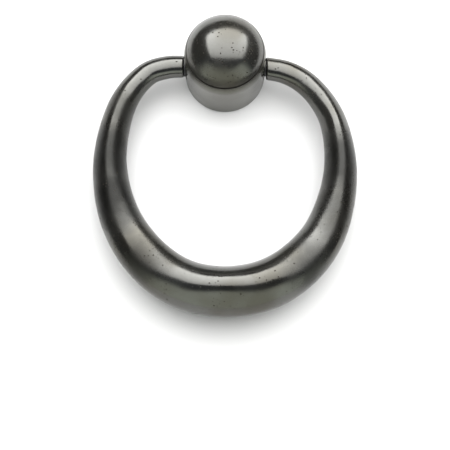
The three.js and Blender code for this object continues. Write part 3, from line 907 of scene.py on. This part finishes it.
def makeDomeNut():
    front = nut["from"]
    hexEnd = front + nut["hexHeight"]
    corner = nut["acrossFlats"] / math.sqrt(3)
    hexagon = rodBetween((0, front, 0), (0, hexEnd, 0), corner, 6)
    # a cone at each end takes the hexagon's corners off, as a lathe does
    face, reach = nut["acrossFlats"] / 2 * nut["faceShare"], corner + nut["clear"]
    shaping = turned([
        (0, -front), (face, -front), (reach, -front - nut["chamfer"]), (reach, -hexEnd + nut["chamfer"]),
        (face, -hexEnd), (0, -hexEnd)], nut["sides"])
    hexagon = carve(hexagon, [shaping], "INTERSECT")
    dome = [(nut["domeRadius"], -hexEnd + 1)]
    steps = 16
    for step in range(steps):
        angle = math.pi / 2 * step / steps
        dome.append((nut["domeRadius"] * math.cos(angle), -hexEnd - nut["domeHeight"] * math.sin(angle)))
    cap = turned([(0, -hexEnd + 1)] + dome + [(0, -hexEnd - nut["domeHeight"])], nut["sides"])
    mesh = carve(hexagon, [cap], "UNION")
    bore = rodBetween((0, front - 1, 0), (0, front + nut["boreDepth"], 0), nut["bore"])
    mesh = carve(mesh, [bore])
    cover = placeMesh("domeNut", mesh, fixingSteel, 24)
    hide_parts("dome_nut")
    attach(cover, "boss")


makeStud()
makeRose()
makeLockWasher()
makeDomeNut()
print("door fixing made")


# gasket and strike, in mm
gasket = {"bore": 6.3, "radius": 11.7, "thickness": 1.0, "sides": 96}
strike = {"radius": 9, "thickness": 3.2, "edge": 0.9, "z": -110.3, "hole": 2.05, "sink": 3.75,
          "sinkClear": 0.15, "sides": 128,
          "pits": {"scattered": 0.01, "clustered": 0.03, "clusterSize": 8, "smallest": 0.08,
                   "largest": 0.2, "spacing": 0.9, "seed": 2}}
strikeScrew = {"head": 3.6, "shank": 1.9, "length": 27, "top": 3.0, "slot": (12, 2, 1), "sides": 64,
               "root": 1.3, "rootFrom": -6, "shankFrom": -4, "point": 5, "pointShare": 0.95,
               "threadTop": -5.5,
               "thread": {"radius": 1.8, "pitch": 1.8, "threadDepth": 0.5, "endTaper": 2.5, "rows": 260,
                          "sides": 40}}


def makeGasket():
    profile = softened([
        (gasket["bore"], 0, 0.1), (gasket["radius"], 0, 0.2), (gasket["radius"], gasket["thickness"], 0.2),
        (gasket["bore"], gasket["thickness"], 0.1)])
    seal = placeMesh("backGasket", turned(profile, gasket["sides"], closed=True), gasketRubber)
    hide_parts("back_gasket")
    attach(seal, "boss")


def makeStrikeButton():
    slope = strikeScrew["head"] - strikeScrew["shank"]
    sinkDeep = strikeScrew["top"] - strike["sinkClear"]
    profile = softened([
        (strike["hole"], 0), (strike["radius"], 0, 0.15),
        (strike["radius"], strike["thickness"], strike["edge"]),
        (strike["sink"], strike["thickness"], 0.15), (strike["sink"], sinkDeep),
        (strike["hole"], sinkDeep - slope)])
    mesh = turned(profile, strike["sides"], (0, strike["z"]), closed=True)
    button = placeMesh("strikeButton", pitted(mesh, shadedCollarBronze, strike["pits"]))
    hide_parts("strike_button")
    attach(button, "boss")


def makeStrikeScrew():
    top = strikeScrew["top"]
    slope = strikeScrew["head"] - strikeScrew["shank"]
    tip = top - strikeScrew["length"]
    profile = softened([
        (0, tip), (strikeScrew["root"], tip + strikeScrew["point"]),
        (strikeScrew["root"], strikeScrew["rootFrom"]), (strikeScrew["shank"], strikeScrew["shankFrom"]),
        (strikeScrew["shank"], top - slope), (strikeScrew["head"], top, 0.12), (0, top)])
    screw = turned(profile, strikeScrew["sides"], (0, strike["z"]))
    slot = blockAt((0, -top, strike["z"]), strikeScrew["slot"])
    thread = cutThread(strikeScrew["thread"], strikeScrew["threadTop"],
                       tip + strikeScrew["point"] * strikeScrew["pointShare"], blackSteel)
    thread.transform(Matrix.Translation((0, 0, strike["z"] * mm)))
    screw = carve(carve(screw, [slot]), [thread], "UNION")
    fixing = placeMesh("strikeScrew", screw, blackSteel, 60)
    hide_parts("strike_screw")
    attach(fixing, "boss")


makeGasket()
makeStrikeButton()
makeStrikeScrew()
print("gasket and strike made")


# small parts that keep their own shape and take a finish
keptFinishes = {
    "locating_dowel": fixingSteel,
    "left_pivot_pin": fixingSteel, "right_pivot_pin": fixingSteel,
    "left_bush": bearingBronze, "right_bush": bearingBronze,
    "left_thrust_washer": washerNylon, "right_thrust_washer": washerNylon,
    "left_grub_screw": blackSteel, "right_grub_screw": blackSteel,
}
for node, finish in keptFinishes.items():
    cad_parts[node].material_slots[0].material = finish
print("small parts finished")


# wall, lights and camera, in metres
stageWall = {"width": 0.26, "top": 0.36, "bottom": -0.36, "albedo": 0.66}
softLights = [
    # name, centre, aim, width, height, radiance
    ("softbox", (0.06, -0.64, 0.206), (0, -0.03, -0.01), 1.75, 1.24, 6.2),
    ("backFill", (0.1, 0.75, 0.2), (0, 0.03, 0), 0.7, 0.7, 4.0),
]
softboxGlow = {"bottom": 0.35, "rise": 0.8}         # dimmer at its bottom edge
studio = {
    "floor": rgb(1.42, 1.50, 1.34), "floorDown": (-0.66, -0.34), "floorOut": (-0.59, -0.42),
    "low": rgb(0.040, 0.049, 0.066), "high": rgb(0.054, 0.048, 0.035), "lowToHigh": (-0.45, -0.05),
    "pale": rgb(1.0, 1.0, 1.0),
}
view = {"position": (0, -0.600, -0.195), "pitch": 11.25, "lens": 101.84, "sensor": 36}


def makeWall():
    half, top, bottom = stageWall["width"] / 2, stageWall["top"], stageWall["bottom"]
    mesh = bpy.data.meshes.new("wall")
    mesh.from_pydata([(-half, 0, bottom), (half, 0, bottom), (half, 0, top), (-half, 0, top)],
                     [], [(0, 1, 2, 3)])
    material, maker = startMaterial("paleWall")
    albedo = stageWall["albedo"]
    facing = maker.node("ShaderNodeNewGeometry", output="Backfacing")
    paint = maker.node("ShaderNodeBsdfDiffuse", None, {"Color": rgb(albedo, albedo, albedo)})
    clear = maker.node("ShaderNodeBsdfTransparent")
    surface = maker.node("ShaderNodeMixShader", None, {0: facing, 1: paint, 2: clear})
    maker.node("ShaderNodeOutputMaterial", None, {"Surface": surface})
    mesh.materials.append(material)
    wall = bpy.data.objects.new("wall", mesh)
    scene.collection.objects.link(wall)


def makeLights():
    for name, centre, aim, width, height, radiance in softLights:
        light = bpy.data.lights.new(name, "AREA")
        light.shape = "RECTANGLE"
        light.size, light.size_y = width, height
        light.energy = radiance * math.pi * width * height
        if name == "softbox":
            light.use_nodes = True
            maker = Maker(light.node_tree)
            across = maker.node("ShaderNodeNewGeometry", output="Parametric")
            place = maker.node("ShaderNodeSeparateXYZ", None, {"Vector": across})
            glow = maker.node("ShaderNodeEmission", None, {
                "Strength": softboxGlow["bottom"] + softboxGlow["rise"] * place.other("Y")})
            maker.node("ShaderNodeOutputLight", None, {"Surface": glow})
        lamp = bpy.data.objects.new(name, light)
        lamp.location = centre
        lamp.rotation_euler = (Vector(aim) - Vector(centre)).to_track_quat("-Z", "Y").to_euler()
        lamp.visible_camera = False
        scene.collection.objects.link(lamp)


def makeWorld():
    world = bpy.data.worlds.new("studio")
    world.use_nodes = True
    maker = Maker(world.node_tree)
    seen = maker.node("ShaderNodeLightPath", output="Is Camera Ray")
    way = maker.node("ShaderNodeSeparateXYZ", None, {
        "Vector": maker.node("ShaderNodeTexCoord", output="Generated")})
    # a pale floor below and towards the wall, in a dim room
    down = 1 - maker.step(way.other("Z"), *studio["floorDown"])
    floor = down * maker.step(way.other("Y"), *studio["floorOut"])
    room = maker.blend(maker.step(way.other("Z"), *studio["lowToHigh"]), studio["low"], studio["high"])
    tint = maker.blend(floor, room, studio["floor"])
    dim = maker.node("ShaderNodeBackground", None, {"Color": tint, "Strength": 1.0})
    pale = maker.node("ShaderNodeBackground", None, {"Color": studio["pale"], "Strength": 1.0})
    surface = maker.node("ShaderNodeMixShader", None, {0: seen, 1: dim, 2: pale})
    maker.node("ShaderNodeOutputWorld", None, {"Surface": surface})
    scene.world = world


def makeCamera():
    lens = bpy.data.cameras.new("camera")
    lens.lens = view["lens"]
    lens.sensor_width = view["sensor"]
    camera = bpy.data.objects.new("camera", lens)
    camera.location = view["position"]
    camera.rotation_euler = (math.radians(90 + view["pitch"]), 0, 0)
    scene.collection.objects.link(camera)
    scene.camera = camera


makeWall()
makeLights()
makeWorld()
makeCamera()
print("stage, lights and camera made")
